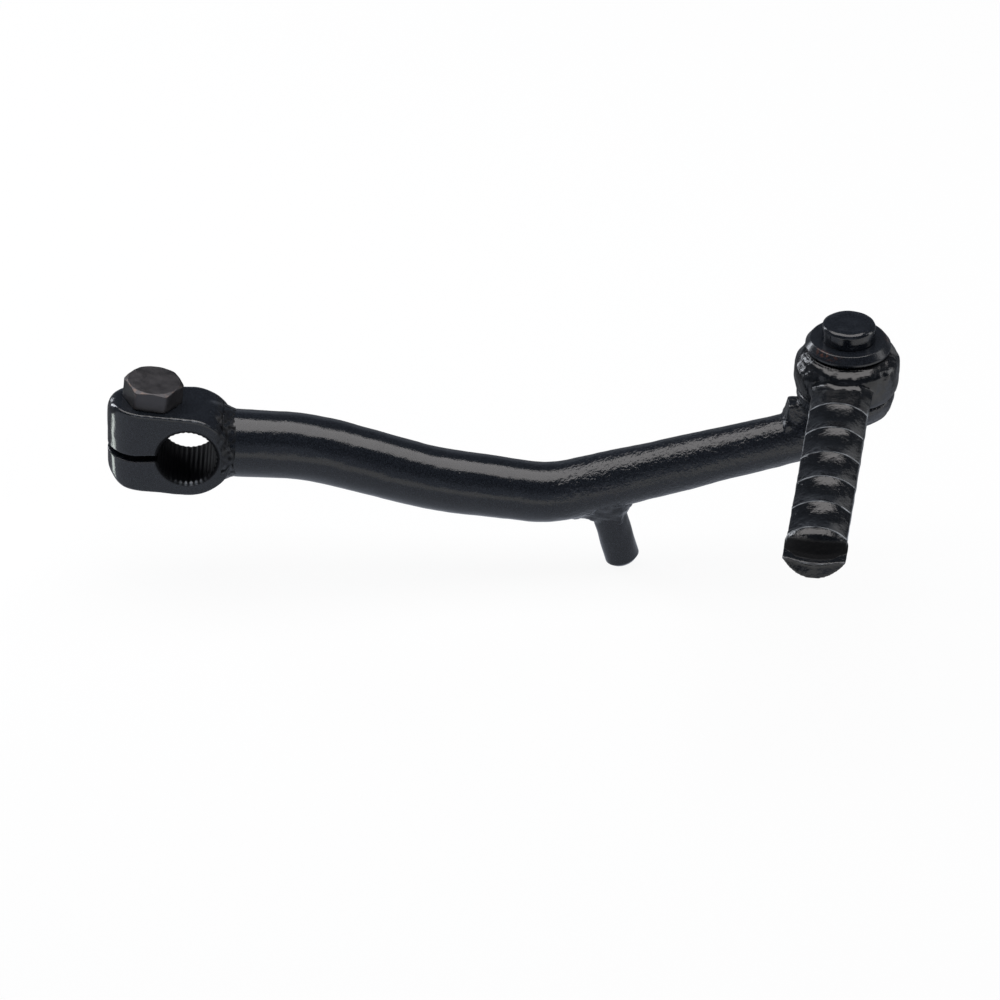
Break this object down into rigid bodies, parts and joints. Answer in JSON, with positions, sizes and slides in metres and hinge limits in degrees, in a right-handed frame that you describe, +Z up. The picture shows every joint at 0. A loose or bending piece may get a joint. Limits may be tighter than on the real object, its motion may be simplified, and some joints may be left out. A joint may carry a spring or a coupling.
{
  "type": "kick start lever",
  "caption": "Bent round motorcycle kick start lever with a split clamp head for a serrated shaft, a stop peg and a ribbed folding pedal on an upright pin.",
  "frame": {"origin": "centre of the serrated shaft bore, halfway through the clamp head", "axes": "+Y along the shaft bore towards the engine, +X along the arm towards the pedal, +Z up, along the pivot pin of the pedal"},
  "size_m": [0.1939, 0.0968, 0.0694],
  "materials": {
    "black_enamel": "gloss",
    "washer_enamel": "gloss, with rust specks on the rim",
    "bolt_steel": "black oxide, worn and slightly rusted",
    "bearing_steel": "polished",
    "spring_steel": "plain drawn wire"
  },
  "bodies": {
    "arm": {"clamp_head": "black_enamel", "pinch_bolt": "bolt_steel", "clamp_weld": "black_enamel", "arm_bar": "black_enamel", "stop_peg": "black_enamel", "peg_weld": "black_enamel", "pivot_pin": "black_enamel", "top_washer": "washer_enamel"},
    "pedal": {"pedal": "black_enamel", "detent_ball": "bearing_steel", "detent_spring": "spring_steel"}
  },
  "joints": [
    {"name": "pedal_fold", "type": "hinge", "parent": "arm", "child": "pedal", "pos_m": [0.1604, 0, 0.0184], "axis": [0, 0, 1], "range_deg": [-80, 0]}
  ]
}
